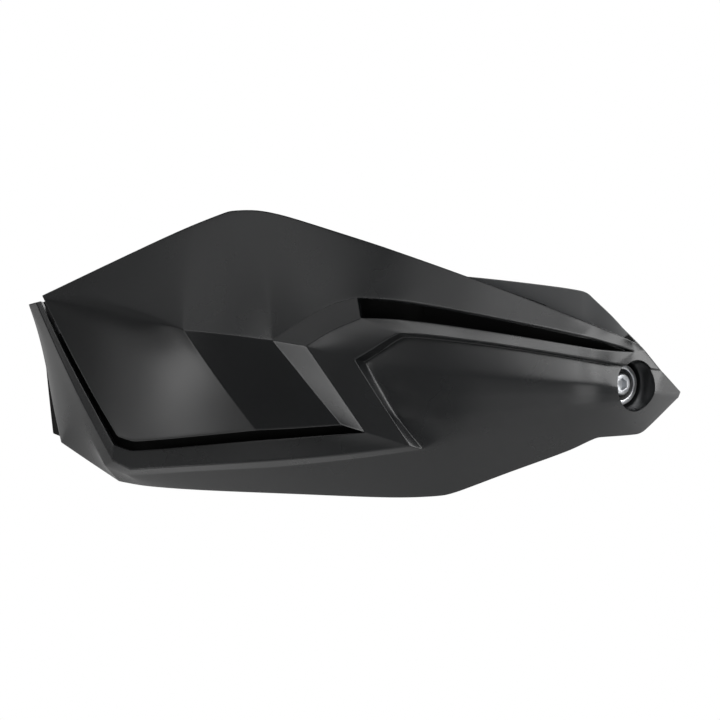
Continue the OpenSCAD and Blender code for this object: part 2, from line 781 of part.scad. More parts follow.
main_shell();
shell_nose();
wind_deflector();
inner_frame();
for (k = [0 : len(frame_bosses) - 1])
    frame_screw(k);
for (k = [0 : len(deflector_bosses) - 1])
    deflector_screw(k);
bar_end_bolt();
cup_washer();
cup_ring();
bar_end_sleeve();
bar_end_spacer();
expander_washer();
expander_rubber();
expander_nut();
clamp_base();
clamp_cap();
clamp_bolt(1);  // clamp_bolt_upper
clamp_bolt(-1);  // clamp_bolt_lower
clamp_nut(1);  // clamp_nut_upper
clamp_nut(-1);  // clamp_nut_lower
bracket_arm();
pivot_bolt();
pivot_washer();
pivot_nut();
flange_bolt(flange_bolts[1]);  // flange_bolt_outboard
flange_bolt(flange_bolts[0]);  // flange_bolt_inboard
flange_nut(flange_bolts[1]);  // flange_nut_outboard
flange_nut(flange_bolts[0]);  // flange_nut_inboard
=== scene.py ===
"""Motorcycle hand guard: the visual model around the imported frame.

The three mouldings are worked out again from feature lines, with tight rounded edges and soft creases.
The lines start from those of the solids. Some points of the shell and one corner of the inner frame are
moved by up to 6.5 mm from them, to look more like the photograph, and the solids don't follow. The turned
and machined pieces are copies of the solids with their edges eased. Lines are in millimetres as
[station, height, relief]; meshes are in metres.
"""
import contextlib
import math

import bmesh
import bpy
import numpy as np
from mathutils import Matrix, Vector


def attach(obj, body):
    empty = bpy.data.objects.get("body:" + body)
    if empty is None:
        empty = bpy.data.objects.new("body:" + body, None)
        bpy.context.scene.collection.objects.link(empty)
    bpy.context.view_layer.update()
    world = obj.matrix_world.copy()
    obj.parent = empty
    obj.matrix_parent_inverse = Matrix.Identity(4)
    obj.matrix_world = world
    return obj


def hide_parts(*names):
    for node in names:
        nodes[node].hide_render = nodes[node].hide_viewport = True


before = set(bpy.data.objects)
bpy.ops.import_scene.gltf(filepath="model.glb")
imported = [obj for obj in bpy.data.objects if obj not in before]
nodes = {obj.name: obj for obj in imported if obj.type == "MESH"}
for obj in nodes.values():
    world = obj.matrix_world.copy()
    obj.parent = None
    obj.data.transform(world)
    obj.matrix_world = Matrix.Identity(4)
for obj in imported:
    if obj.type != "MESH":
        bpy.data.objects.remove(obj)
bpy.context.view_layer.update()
MM = 0.001

# Camera: at the photograph's angle, as a point that it looks straight at and a distance
VIEW_AZIMUTH, VIEW_ELEVATION = 55, 4
VIEW_DISTANCE = 1.38
VIEW_CENTRE = Vector((-54.9, -98.5, 11.3)) * MM
LENS, SENSOR_WIDTH = 150, 36

# Plan of the shell: outward azimuth and place of the nose, then three arcs inboard and one outboard
NOSE_POINT = np.array([26.0, 0.0])
NOSE_AZIMUTH, CHEEK_AZIMUTH, FRONT_AZIMUTH = 96.0, 55.0, 28.0
NOSE_RADIUS, CHEEK_RADIUS, FRONT_RADIUS = 45.0, 200.0, 640.0
CHEEK_STATION = -NOSE_RADIUS * math.radians(NOSE_AZIMUTH - CHEEK_AZIMUTH)
FRONT_STATION = CHEEK_STATION - CHEEK_RADIUS * math.radians(CHEEK_AZIMUTH - FRONT_AZIMUTH)


def outward(azimuth):
    """Unit vector in plan at an azimuth in degrees: (sin a, -cos a)."""
    a = np.radians(azimuth)
    return np.stack([np.sin(a), -np.cos(a)], axis=-1)


TIP_CENTRE = NOSE_POINT - CHEEK_RADIUS * outward(NOSE_AZIMUTH)
NOSE_CENTRE = NOSE_POINT - NOSE_RADIUS * outward(NOSE_AZIMUTH)
CHEEK_CENTRE = NOSE_CENTRE + (NOSE_RADIUS - CHEEK_RADIUS) * outward(CHEEK_AZIMUTH)
FRONT_CENTRE = CHEEK_CENTRE + (CHEEK_RADIUS - FRONT_RADIUS) * outward(FRONT_AZIMUTH)


def placed(points):
    """Shell points [s, z, w] to metres: the arc at station s, stepped off by w, at height z."""
    s, z, w = points[..., 0], points[..., 1], points[..., 2]
    arcs = [s > 0, s > CHEEK_STATION, s > FRONT_STATION]
    start = np.select(arcs, [0, 0, CHEEK_STATION], FRONT_STATION)
    turn = np.select(arcs, [NOSE_AZIMUTH, NOSE_AZIMUTH, CHEEK_AZIMUTH], FRONT_AZIMUTH)
    radius = np.select(arcs, [CHEEK_RADIUS, NOSE_RADIUS, CHEEK_RADIUS], FRONT_RADIUS)
    arc_columns = [arc[..., None] for arc in arcs]
    centre = np.select(arc_columns, [TIP_CENTRE, NOSE_CENTRE, CHEEK_CENTRE], FRONT_CENTRE)
    flat = centre + (radius + w)[..., None] * outward(turn + np.degrees((s - start) / radius))
    return np.concatenate([flat, z[..., None]], axis=-1) * MM


def new_piece(name, vertices, faces):
    """A mesh object at the origin from an array of points in metres and a list of faces."""
    mesh = bpy.data.meshes.new(name)
    mesh.from_pydata([tuple(v) for v in vertices], [], faces)
    mesh.validate()
    mesh.update()
    piece = bpy.data.objects.new(name, mesh)
    bpy.context.scene.collection.objects.link(piece)
    return piece


def finished(piece):
    """Applies the piece's modifiers, so that its mesh is what is seen."""
    bpy.context.view_layer.update()
    graph = bpy.context.evaluated_depsgraph_get()
    mesh = bpy.data.meshes.new_from_object(piece.evaluated_get(graph))
    piece.modifiers.clear()
    piece.data = mesh
    return piece


@contextlib.contextmanager
def edited(piece):
    """Opens a piece's mesh for editing, and writes it back at the end."""
    shape = bmesh.new()
    shape.from_mesh(piece.data)
    yield shape
    shape.to_mesh(piece.data)
    shape.free()


def faced_out(piece):
    """Turns the faces of a closed piece outwards."""
    with edited(piece) as shape:
        bmesh.ops.recalc_face_normals(shape, faces=shape.faces)
    return piece


# Faces of a piece that meet at more than this angle in degrees shade with a sharp edge
MOULDED_SHARP, TURNED_SHARP, EASED_SHARP, RECESS_SHARP = 40, 38, 32, 30


def smooth_faces(piece, sharp_degrees=MOULDED_SHARP):
    """Smooth shading, broken only at edges whose faces meet at more than an angle."""
    with edited(piece) as shape:
        for face in shape.faces:
            face.smooth = True
        for edge in shape.edges:
            gentle = edge.calc_face_angle(0) < math.radians(sharp_degrees)
            edge.smooth = len(edge.link_faces) == 2 and gentle
    return piece


def settle(piece, material, slot, *replaced):
    """Gives a piece its material and body, and hides the solids that it stands for; its slot is not used."""
    if not piece.data.materials:
        piece.data.materials.append(material)
    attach(piece, "root")
    if replaced:
        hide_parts(*replaced)


# Mouldings: nets of cells between feature lines

CELL_STEPS = 4
HARD_ANGLE = 16.0
EDGE_ROUNDING = 0.8
CORNER_ROUNDING = 2.2
# Hard edges that meet at a point cross below the first cosine between them, and bend below the second
CROSSING, BENDING = 0.8, 0.95
# Where the wall turns it is thickened, by at most one over this cosine
LEAST_COSINE = 0.6
# The nose's extra thickness starts at this station and is whole after this length
THICKER_FROM, THICKER_OVER = -30, 15
# Sizes in millimetres that count as nothing: of a cell's normal, an edge, a distance from a line
NO_AREA, NO_LENGTH, NO_DISTANCE = 0.001, 1e-6, 0.01
SAME_POINT = 0.004
TINY = 1e-9
# Hard lines that bend by less than this are rounded along themselves, over this many rounds
SOFT_BEND = 32.0
LINE_ROUNDS = 8
# Then the relief settles over this many rounds, by a share of the way that is less on soft lines
RELIEF_ROUNDS = 20
FREE_SHARE, SOFT_SHARE = 0.5, 0.08
# Neighbours closer than this pull no harder
LEAST_SPAN = 0.05
SUBDIVISIONS = 2
# Levels through a moulding's edge, from front face to back face
RIM_LEVELS = (0, 0.25, 0.75, 1)


def strip(upper, lower):
    """Cells between two rows of shell points, both listed from the nose inboard."""
    return [(upper[i], upper[i + 1], lower[i + 1], lower[i]) for i in range(len(upper) - 1)]


def key(point):
    """Shell point as a dictionary key."""
    return tuple(np.round(point, 4).tolist())


def cell_normal(cell):
    """Unit normal of a cell in [s, z, w], or zero for a cell with no area."""
    a, b, c, d = (np.array(p, float) for p in cell)
    n = np.cross(c - a, d - b)
    size = np.linalg.norm(n)
    return n / size if size > NO_AREA else n * 0


def turn_between(a, b):
    """Angle in degrees between unit normals."""
    return np.degrees(np.arccos(np.clip((a * b).sum(axis=-1), -1, 1)))


class Net:
    """Cells of shell points, with the normals and the hard edges that meet at each point.

    An edge is hard where its two cells turn by more than HARD_ANGLE, where it is open or where it lies
    on a hard line, unless it lies on a soft line. A cell's edge is cut into CELL_STEPS equal parts, but
    its first part is only as long as the rounding where a hard edge crosses its end, so that subdivision
    rounds it tightly.
    """

    def __init__(self, cells, soft_lines=(), hard_lines=()):
        self.cells = [c for c in cells if np.linalg.norm(cell_normal(c)) > 0]
        self.soft = [np.array(line, float) for line in soft_lines]
        self.hard = [np.array(line, float) for line in hard_lines]
        self.normals = {}
        self.hard_at = {}
        edges = {}
        for cell in self.cells:
            n = cell_normal(cell)
            for i in range(4):
                p, q = key(cell[i]), key(cell[(i + 1) % 4])
                self.normals.setdefault(p, []).append(n)
                if p != q:
                    edges.setdefault(frozenset((p, q)), []).append(n)
        soft = [set(map(key, line)) for line in soft_lines]
        hard = [set(map(key, line)) for line in hard_lines]
        for pair, uses in edges.items():
            p, q = tuple(pair)
            gentle = len(uses) == 2 and turn_between(uses[0], uses[1]) < HARD_ANGLE
            if len(uses) == 2 and any(p in line and q in line for line in soft):
                continue
            if gentle and not any(p in line and q in line for line in hard):
                continue
            way = np.array(q) - np.array(p)
            way = way / np.linalg.norm(way)
            self.hard_at.setdefault(p, []).append(way)
            self.hard_at.setdefault(q, []).append(way)

    def end_part(self, p, way, length):
        """Share of an edge's length that its first part takes at the end p."""
        meets = [abs(float(way @ other)) for other in self.hard_at.get(p, [])]
        if any(m < CROSSING for m in meets):
            return min(EDGE_ROUNDING / length, 1 / CELL_STEPS)
        if any(m < BENDING for m in meets):
            return min(CORNER_ROUNDING / length, 1 / CELL_STEPS)
        return 1 / CELL_STEPS

    def cuts(self, p, q):
        """Cut places from 0 to 1 along the edge from p to q."""
        way = np.array(q, float) - np.array(p, float)
        length = float(np.linalg.norm(way))
        if length < NO_LENGTH:
            return np.linspace(0, 1, CELL_STEPS + 1)
        way = way / length
        first = self.end_part(key(p), way, length)
        last = self.end_part(key(q), way, length)
        return np.concatenate([[0], np.linspace(first, 1 - last, CELL_STEPS - 1), [1]])

    def behind(self, point, thick, nose):
        """The point on the back face, set back square to the cells that meet at the front point."""
        normals = np.array(self.normals[key(point)])
        n = normals.sum(axis=0)
        n = n / np.linalg.norm(n)
        least = max(float((normals @ n).min()), LEAST_COSINE)
        extra = nose * min(1.0, max(0.0, (point[0] - THICKER_FROM) / THICKER_OVER))
        return np.array(point, float) - n * thick / least - np.array([0, 0, extra])


def on_lines(points, lines):
    """Marks the points that lie on one of some lines."""
    marked = np.zeros(len(points), bool)
    for line in lines:
        for a, b in zip(line[:-1], line[1:]):
            way = b - a
            share = np.clip((points - a) @ way / (way @ way), 0, 1)
            marked |= np.linalg.norm(points - a - share[:, None] * way, axis=1) < NO_DISTANCE
    return marked


def cell_grid(corners, along_0, along_1, across_0, across_1):
    """Grid over a cell: bilinear in (u, v), with u and v cut as its four edges are."""
    a, b, c, d = (np.array(p, float) for p in corners)
    u_mean = (along_0 + along_1) / 2
    v_mean = (across_0 + across_1) / 2
    u = (1 - v_mean[:, None]) * along_0[None, :] + v_mean[:, None] * along_1[None, :]
    v = (1 - u_mean[None, :]) * across_0[:, None] + u_mean[None, :] * across_1[:, None]
    u, v = u[..., None], v[..., None]
    return (1 - u) * (1 - v) * a + u * (1 - v) * b + u * v * c + (1 - u) * v * d


def merged(grids, grain):
    """Grids of points as one list: which points to keep, and quads of the kept ones."""
    quads, first = [], 0
    for grid in grids:
        rows, columns = grid.shape[:2]
        index = first + np.arange(rows * columns).reshape(rows, columns)
        sides = [index[:-1, :-1], index[:-1, 1:], index[1:, 1:], index[1:, :-1]]
        quads.append(np.stack(sides, axis=-1).reshape(-1, 4))
        first += rows * columns
    points = np.concatenate([g.reshape(-1, 3) for g in grids])
    rounded = np.round(points / grain).astype(np.int64)
    _, kept, where = np.unique(rounded, axis=0, return_index=True, return_inverse=True)
    return points, kept, where.reshape(-1)[np.concatenate(quads)]


def without_doubles(quads, finish):
    """Faces from quads, with their finish: a repeated corner is dropped, and a face with under three too."""
    faces = [[v for i, v in enumerate(quad) if v != quad[i - 1]] for quad in quads.tolist()]
    kept = [len(face) > 2 and len(set(face)) == len(face) for face in faces]
    return [face for face, keep in zip(faces, kept) if keep], finish[np.array(kept)]


def edge_list(quads):
    """Directed edges of quads, the quad of each, and for each the row of its twin or -1."""
    tail = quads.reshape(-1)
    head = np.roll(quads, -1, axis=1).reshape(-1)
    owner = np.repeat(np.arange(len(quads)), 4)
    real = tail != head
    tail, head, owner = tail[real], head[real], owner[real]
    span = int(quads.max()) + 1
    forward, backward = tail * span + head, head * span + tail
    order = np.argsort(forward)
    place = np.clip(np.searchsorted(forward[order], backward), 0, len(order) - 1)
    twin = np.where(forward[order[place]] == backward, order[place], -1)
    return tail, head, owner, twin


def summed(at, vectors, count):
    """Sum of the vectors that belong to each of count points."""
    return np.stack([np.bincount(at, vectors[:, k], count) for k in range(3)], axis=1)


def near_mean(points, tail, head, pull, count):
    """Mean of the points at each point's neighbours, weighed by pull."""
    weight = np.maximum(np.bincount(tail, pull, count), TINY)
    return summed(tail, pull[:, None] * points[head], count) / weight[:, None]


def settled(points, quads, net):
    """Points of a front net after the kinks between its cells have spread out.

    Neighbours are weighed by one over their distance, which leaves an even slope alone. First the lines
    of hard edges are rounded along themselves, with the free points beside them, and only sharp corners
    stay. Then the relief of the free points settles, less so on soft lines.
    """
    a, b, c, d = (points[quads[:, i]] for i in range(4))
    normals = np.cross(c - a, d - b)
    normals = normals / np.maximum(np.linalg.norm(normals, axis=1), TINY)[:, None]
    tail, head, owner, twin = edge_list(quads)
    turn = turn_between(normals[owner], normals[owner[twin]])
    soft = on_lines(points, net.soft)
    named = on_lines(points, net.hard)
    turned = (turn > HARD_ANGLE) & ~(soft[tail] & soft[head])
    hard = (twin < 0) | turned | (named[tail] & named[head])
    count = len(points)
    both = np.concatenate([np.stack([tail, head], axis=1), np.stack([head, tail], axis=1)])
    line = np.unique(both[np.concatenate([hard, hard])], axis=0)
    both = np.unique(both, axis=0)
    on_line = np.bincount(line[:, 0], minlength=count)
    away = points[line[:, 1]] - points[line[:, 0]]
    away = away / np.linalg.norm(away, axis=1)[:, None]
    straight = np.linalg.norm(summed(line[:, 0], away, count), axis=1)
    bends = (on_line == 2) & (straight < 2 * math.sin(math.radians(SOFT_BEND) / 2))
    free = on_line == 0
    line_pull = 1 / np.linalg.norm(points[line[:, 1]] - points[line[:, 0]], axis=1)
    pull = 1 / np.maximum(np.linalg.norm(points[both[:, 1]] - points[both[:, 0]], axis=1), LEAST_SPAN)
    moved = points.copy()
    for _ in range(LINE_ROUNDS):
        along = near_mean(moved, line[:, 0], line[:, 1], line_pull, count)
        around = near_mean(moved, both[:, 0], both[:, 1], pull, count)
        goal = np.where(bends[:, None], along, np.where(free[:, None], around, moved))
        moved = (moved + goal) / 2
    share = np.where(free, np.where(soft, SOFT_SHARE, FREE_SHARE), 0)
    for _ in range(RELIEF_ROUNDS):
        around = near_mean(moved, both[:, 0], both[:, 1], pull, count)
        moved[:, 2] += share * (around[:, 2] - moved[:, 2])
    return moved


def moulding(name, net, thick, nose=0.0, second=()):
    """A closed moulding: front net, the same net behind it, and a wall along every open edge.

    The front of the cells in second takes the piece's second material.
    """
    fronts, backs = [], []
    for cell in net.cells:
        p0, p1, p2, p3 = cell
        cuts = [net.cuts(p0, p1), net.cuts(p3, p2), net.cuts(p0, p3), net.cuts(p1, p2)]
        fronts.append(cell_grid(cell, *cuts))
        backs.append(cell_grid([net.behind(p, thick, nose) for p in cell], *cuts))
    points, kept, quads = merged(fronts, SAME_POINT)
    front = points[kept]
    back = np.concatenate([g.reshape(-1, 3) for g in backs])[kept]
    change = settled(front, quads, net) - front
    front = front + change
    back = back + change
    tail, head, _, twin = edge_list(quads)
    count = len(front)
    levels_between = RIM_LEVELS[1:-1]
    layers = [front, back] + [front + (back - front) * t for t in levels_between]
    order = [0] + list(range(2, 2 + len(levels_between))) + [1]
    i, j = tail[twin < 0], head[twin < 0]
    rims = [np.stack([j + m * count, i + m * count, i + n * count, j + n * count], axis=1)
            for m, n in zip(order[:-1], order[1:])]
    all_quads = np.concatenate([quads, quads[:, ::-1] + count] + rims)
    used, where = np.unique(all_quads, return_inverse=True)
    finish = np.zeros(len(all_quads), np.int32)
    finish[:len(quads)] = np.repeat([cell in second for cell in net.cells], CELL_STEPS * CELL_STEPS)
    faces, finish = without_doubles(where.reshape(-1, 4), finish)
    piece = new_piece(name, placed(np.concatenate(layers)[used]), faces)
    piece.data.polygons.foreach_set("material_index", finish)
    rounding = piece.modifiers.new("rounding", "SUBSURF")
    rounding.levels = SUBDIVISIONS
    rounding.render_levels = SUBDIVISIONS
    return finished(piece)


# Feature lines of the main shell, from the nose inboard. They are the solids' lines, but for the chevron
# ridge with the points beside it, the foot of its wall, the band's inner edge, the slot's end at the nose,
# the lower vent's inboard end and the step's foot, which are moved to look more like the photograph.

panel_edge = [
    (7, 15.8, -1.8), (-1.7, 15.9, -0.9), (-20, 21, 1.5), (-30, 24.5, 2.5), (-64, 31.5, 4),
    (-109, 40, 4.5), (-133, 40, 5), (-145.5, 37.5, 6), (-160.7, 29.4, 6.8), (-176.7, 19.2, 7.5),
    (-164.6, 6.7, 7), (-152.7, -6.3, 6.5), (-140.3, -18.8, 6.5),
    (-162.4, -21.4, 8), (-183.7, -23.2, 10.5), (-223.6, -28.6, 8), (-262, -34, 5),
    (-273, -31.5, 5), (-287, -15.5, 5), (-307, 10.5, 5.5), (-325, 34.5, 6)]
band_inner = [
    (7, 15.8, -1.8), (-1.7, 15.9, -0.9), (-19.6, 17.1, -1.5), (-29.9, 19.2, -1.8), (-64.4, 24.8, -2),
    (-112.1, 31.3, -2.2), (-134.9, 30.3, -2.2), (-149.6, 24.8, -1.8), (-156.7, 20.2, -1), (-162.5, 16.6, 0.7),
    (-152.1, 4.1, 1), (-141.2, -9.4, 1), (-131.1, -22.4, 0.8),
    (-161, -25.5, -1), (-192, -29, -1), (-231, -34, -1), (-270, -39.5, -1),
    (-281.5, -36.5, -1), (-297, -17, -1), (-317.5, 7.2, -1), (-335.5, 32.2, -1)]
band_outer = [
    (16, 7, -0.5), (-12, 10.5, 0), (-22, 12.5, 0), (-31, 14, 0), (-64, 19.5, 0),
    (-99, 23.5, 0), (-113.5, 24, 0), (-118.5, 22, 0), (-127, 16.5, 0), (-137, 11, 0),
    (-128, -1.5, 0), (-118, -15, 0), (-108.5, -28, 0),
    (-144.5, -34, 0), (-183, -38.5, 0), (-224, -43, 0), (-269, -48, 0),
    (-281, -44.5, 0), (-302.5, -18, 0), (-319, 4.5, 0), (-338, 31.5, 0)]
step_foot = [
    (18, 6, -0.9), (-10.5, 9.5, -2.5), (-21, 11.5, -3), (-30, 13, -3), (-64.5, 18.5, -4),
    (-100.5, 22, -5), (-114, 22, -5.5), (-119, 20, -5.5), (-125.5, 15, -5.5), (-134.8, 9.9, -5.5),
    (-126.7, -2.4, -6.2), (-117.4, -15.7, -5.4), (-103.5, -29.5, -2.6),
    (-141, -36, -4.5), (-185, -42, -5), (-226.5, -46, -5), (-276, -51.5, -5),
    (-290, -47.5, -3), (-310.5, -20.5, -3), (-329, 4.5, -3), (-348, 30, -3)]
rear_edge = [
    (-99.5, -53.5, -17), (-135, -55, -18), (-180, -55.5, -17), (-225, -57, -16), (-270, -58, -14),
    (-290, -56.5, -13), (-333.7, -39.7, -12), (-341, -20, -12), (-349, 12, -12)]
top_edge = [
    (2, 19, -0.5), (-4, 21, -0.5), (-15, 25.5, -1), (-24.5, 29, -1), (-48, 38.5, -2),
    (-88, 52.5, -4), (-117, 61, -7), (-139, 66.5, -10), (-175, 75, -14), (-199, 80.2, -16),
    (-218, 79.2, -15.5), (-242, 70, -9), (-270, 58, -3), (-292, 49, 1), (-327, 35.5, 5)]
shoulder = [
    panel_edge[9], (-198.8, 21.6, 11.2), (-223, 23, 14), (-256.7, 31.1, 11), (-283.2, 35.1, 9.3),
    panel_edge[20]]
cheek_rows = [
    [shoulder[0], shoulder[1], shoulder[2]],
    [panel_edge[10], (-188.5, 8.1, 10.2), (-211.1, 8.5, 13.3)],
    [panel_edge[11], (-175.4, -7, 9.4), (-197.4, -7.5, 12.2)],
    [panel_edge[12], panel_edge[13], panel_edge[14]]]
inboard_rows = [
    [shoulder[2], shoulder[3], shoulder[4], panel_edge[20]],
    [cheek_rows[1][2], (-243.2, 11.3, 11.2), (-273, 12.2, 9), panel_edge[19]],
    [cheek_rows[2][2], (-231.3, -9.6, 9.8), (-261.1, -11.8, 8), panel_edge[18]],
    [panel_edge[14], panel_edge[15], panel_edge[16], panel_edge[17]]]
tip = (36, -5, -3)
belly = [
    tip, (12, -2.5, 0.5), (-14, 1, 1), (-24, 2, 1), (-36, 3, 1), (-64, 5, 0),
    (-92, 6.5, -1.5), (-107, 7.5, -3), (-119, 8, -4), step_foot[9]]
lower_crease = [
    (35, -7.5, -3.5), (11, -7, -0.5), (-16, -10, 0), (-25, -11.5, 0), (-37, -13.5, 0),
    (-62, -19, -0.5), (-73, -22, -1), (-81, -24, -1), (-88.5, -26, -1.4), step_foot[12]]
bottom_edge = [
    (34, -8.5, -4.5), (12.9, -21.6, -6), (7.6, -23.7, -6.8), (-18.3, -22.9, -8.6), (-33, -29.5, -10.5),
    (-50, -35.5, -12.5), (-64, -40.5, -14), (-76, -45, -15), (-88, -49.5, -16), rear_edge[0]]


def between_rows(row_a, row_b, share, last):
    """Row a share of the way from one row to another, ending at a point on the step beside it."""
    mixed = np.array(row_a) + (np.array(row_b) - np.array(row_a)) * share
    return [tuple(p) for p in mixed[:-1]] + [last]


face_row_1 = between_rows(belly, lower_crease, 1 / 3, step_foot[10])
face_row_2 = between_rows(belly, lower_crease, 2 / 3, step_foot[11])
shell_cells = (
    strip(top_edge[:10], panel_edge[:10])
    + strip(top_edge[9:], shoulder)
    + [c for k in range(3) for c in strip(cheek_rows[k], cheek_rows[k + 1])]
    + [c for k in range(3) for c in strip(inboard_rows[k], inboard_rows[k + 1])]
    + strip(panel_edge[6:13], band_inner[6:13])
    + strip(band_inner, band_outer)
    + strip(band_outer, step_foot)
    + strip([tip] + step_foot[:9], belly)
    + strip(belly, face_row_1)
    + strip(face_row_1, face_row_2)
    + strip(face_row_2, lower_crease)
    + strip(lower_crease, bottom_edge)
    + strip(step_foot[12:], rear_edge))

# Walls of the shell and of the two plates, and what the nose's wall has more
WALL, FRAME_WALL, NOSE_EXTRA = 2.6, 2.5, 3.5
# Relief of the plates' front faces, and how far their screw pads stand out
FRAME_FRONT, DEFLECTOR_FRONT, PAD_PROUD = -15, -10.5, 0.2
# Facets round a turned piece, a screw boss or pad, and the recess
TURNED_STEPS, BOSS_STEPS, RECESS_STEPS = 64, 40, 96
frame_bosses = [
    (-114, 47, -0.6), (-175, 52, -3.6), (-250, 47, 1.6), (-325, 18.5, -0.5), (-229, -38.5, -0.5),
    (-131, -10, 0)]
deflector_bosses = [(-84, 45, -1.4), (-54, 35.5, -0.4), (-24, 26, 0)]


def azimuth_at(s):
    """Outward azimuth in degrees at a station."""
    if s > CHEEK_STATION:
        return NOSE_AZIMUTH + math.degrees(s / (CHEEK_RADIUS if s > 0 else NOSE_RADIUS))
    if s > FRONT_STATION:
        return CHEEK_AZIMUTH + math.degrees((s - CHEEK_STATION) / CHEEK_RADIUS)
    return FRONT_AZIMUTH + math.degrees((s - FRONT_STATION) / FRONT_RADIUS)


def outward_at(s):
    """Outward direction in space at a station."""
    return np.append(outward(azimuth_at(s)), 0)


def place_of(point):
    """Place of one shell point in millimetres."""
    return placed(np.array(point, float)) / MM


# Points of turned pieces and of the solids' copies that are closer than this are one
DOUBLES = 0.002


def revolved(name, profile, origin, axis, steps=TURNED_STEPS):
    """Surface of revolution: a profile of (distance along the axis, radius) in mm, turned round the axis."""
    axis = np.array(axis, float) / np.linalg.norm(axis)
    side = np.cross(axis, (0, 0, 1))
    side = side / np.linalg.norm(side)
    up = np.cross(axis, side)
    angle = np.linspace(0, 2 * np.pi, steps + 1)
    along, radius = np.array(profile, float).T
    ring = np.cos(angle)[:, None] * side + np.sin(angle)[:, None] * up
    grid = (np.array(origin) + along[:, None, None] * axis + radius[:, None, None] * ring[None]) * MM
    points, kept, quads = merged([grid], DOUBLES * MM)
    faces, _ = without_doubles(quads, np.zeros(len(quads), int))
    return faced_out(new_piece(name, points[kept], faces))


def cut_by(piece, cutter):
    """Takes the cutter's volume out of the piece, and removes the cutter."""
    cut = piece.modifiers.new("cut", "BOOLEAN")
    cut.operation = "DIFFERENCE"
    cut.object = cutter
    cut.solver = "EXACT"
    finished(piece)
    bpy.data.objects.remove(cutter)


# Materials

def linear(hex_colour):
    """sRGB hex to linear colour with alpha."""
    value = np.array([int(hex_colour[i:i + 2], 16) for i in (1, 3, 5)]) / 255
    value = np.where(value <= 0.04045, value / 12.92, ((value + 0.055) / 1.055) ** 2.4)
    return (*value.tolist(), 1.0)


def add(tree, kind, settings=(), links=()):
    """Adds a node with its inputs or properties by name, and links of (input, from node, from output)."""
    node = tree.nodes.new(kind)
    for name, value in dict(settings).items():
        if name in node.inputs:
            node.inputs[name].default_value = value
        else:
            setattr(node, name, value)
    for name, source, output in links:
        tree.links.new(source.outputs[output], node.inputs[name])
    return node


# Size in millimetres of the blotches over which colour and roughness vary
BLOTCH_MM = 22.0
# The colour sockets of a Mix node, which share their names with its other types
MIX_A, MIX_B, MIX_RESULT = 6, 7, 2


def surface(name, colour, blotch_colour, roughness, spread, grain_mm, grain_depth_mm, metallic=0.0, ior=1.5):
    """One surface: colour and roughness that vary over blotches, and a grain of real size as bump."""
    material = bpy.data.materials.new(name)
    material.use_nodes = True
    tree = material.node_tree
    tree.nodes.clear()
    place = add(tree, "ShaderNodeTexCoord")
    blotch = add(tree, "ShaderNodeTexNoise", {"Scale": 1 / (BLOTCH_MM * MM), "Detail": 3.0},
                 [("Vector", place, "Object")])
    rough = add(tree, "ShaderNodeMapRange", {"To Min": roughness - spread, "To Max": roughness + spread},
                [("Value", blotch, "Fac")])
    grain = add(tree, "ShaderNodeTexNoise", {"Scale": 1 / (grain_mm * MM), "Detail": 2.0, "Roughness": 0.6},
                [("Vector", place, "Object")])
    bump = add(tree, "ShaderNodeBump", {"Strength": 0.6, "Distance": grain_depth_mm * MM},
               [("Height", grain, "Fac")])
    tint = add(tree, "ShaderNodeMix", {"data_type": "RGBA"}, [("Factor", blotch, "Fac")])
    tint.inputs[MIX_A].default_value = linear(colour)
    tint.inputs[MIX_B].default_value = linear(blotch_colour)
    shader = add(tree, "ShaderNodeBsdfPrincipled", {"Metallic": metallic, "IOR": ior},
                 [("Roughness", rough, "Result"), ("Normal", bump, "Normal")])
    tree.links.new(tint.outputs[MIX_RESULT], shader.inputs["Base Color"])
    add(tree, "ShaderNodeOutputMaterial", {}, [("Surface", shader, "BSDF")])
    return material


# Moulded polypropylene, dyed black: satin, with a fine even texture from the tool
shell_plastic = surface("moulded black polypropylene", "#151617", "#191a1b", 0.27, 0.02, 0.5, 0.012)
# The same plastic from the polished part of the tool: tighter highlights, and a deeper dark between them
panel_plastic = surface("polished black polypropylene", "#0f1011", "#121314", 0.2, 0.015, 0.5, 0.006)
# The deflector is the same plastic from a blasted tool: paler and duller
deflector_plastic = surface("blasted black polypropylene", "#303132", "#2e2f30", 0.42, 0.03, 0.5, 0.014)
# Glass-filled nylon of the inner frame: dull, coarser grain
frame_nylon = surface("glass filled black nylon", "#0b0b0c", "#0a0a0a", 0.8, 0.05, 0.7, 0.03, ior=1.4)
# Near-black, dull plastic on the deflector behind the slot: painted shade, so that the slot looks black as
# deep shadow makes it
slot_painted_shade = surface("painted slot shade polypropylene", "#040404", "#060606", 0.9, 0.04, 0.8, 0.05,
                    ior=1.3)
# Stainless bolt steel: bright, finely turned
bolt_steel = surface("stainless bolt steel", "#b8bbbe", "#a5a8ab", 0.26, 0.05, 0.35, 0.004, metallic=1.0)
# Zinc plated steel: duller, a little blue
zinc_steel = surface("zinc plated steel", "#9fa3a6", "#8d9296", 0.38, 0.07, 0.5, 0.006, metallic=1.0)
# Turned aluminium of the cup washer and spacer
turned_aluminium = surface("turned aluminium", "#c9cbcd", "#b9bcbf", 0.3, 0.05, 0.3, 0.004, metallic=1.0)
# Black rubber: matt with a bloom
black_rubber = surface("black rubber", "#0d0d0d", "#131313", 0.8, 0.06, 0.8, 0.03)
# Brass nut in the bar
nut_brass = surface("brass bar stock", "#b08d4a", "#9c7b3e", 0.32, 0.06, 0.4, 0.004, metallic=1.0)
# Black powder coat on the clamp and arm: orange peel about 1.5 mm across
powder_coat = surface("black powder coat", "#161718", "#1b1c1d", 0.42, 0.04, 1.5, 0.03)
# Black oxide on the self-tapping screws
black_oxide = surface("black oxide steel", "#26272a", "#1f2023", 0.42, 0.06, 0.4, 0.006, metallic=0.7)

# Main shell

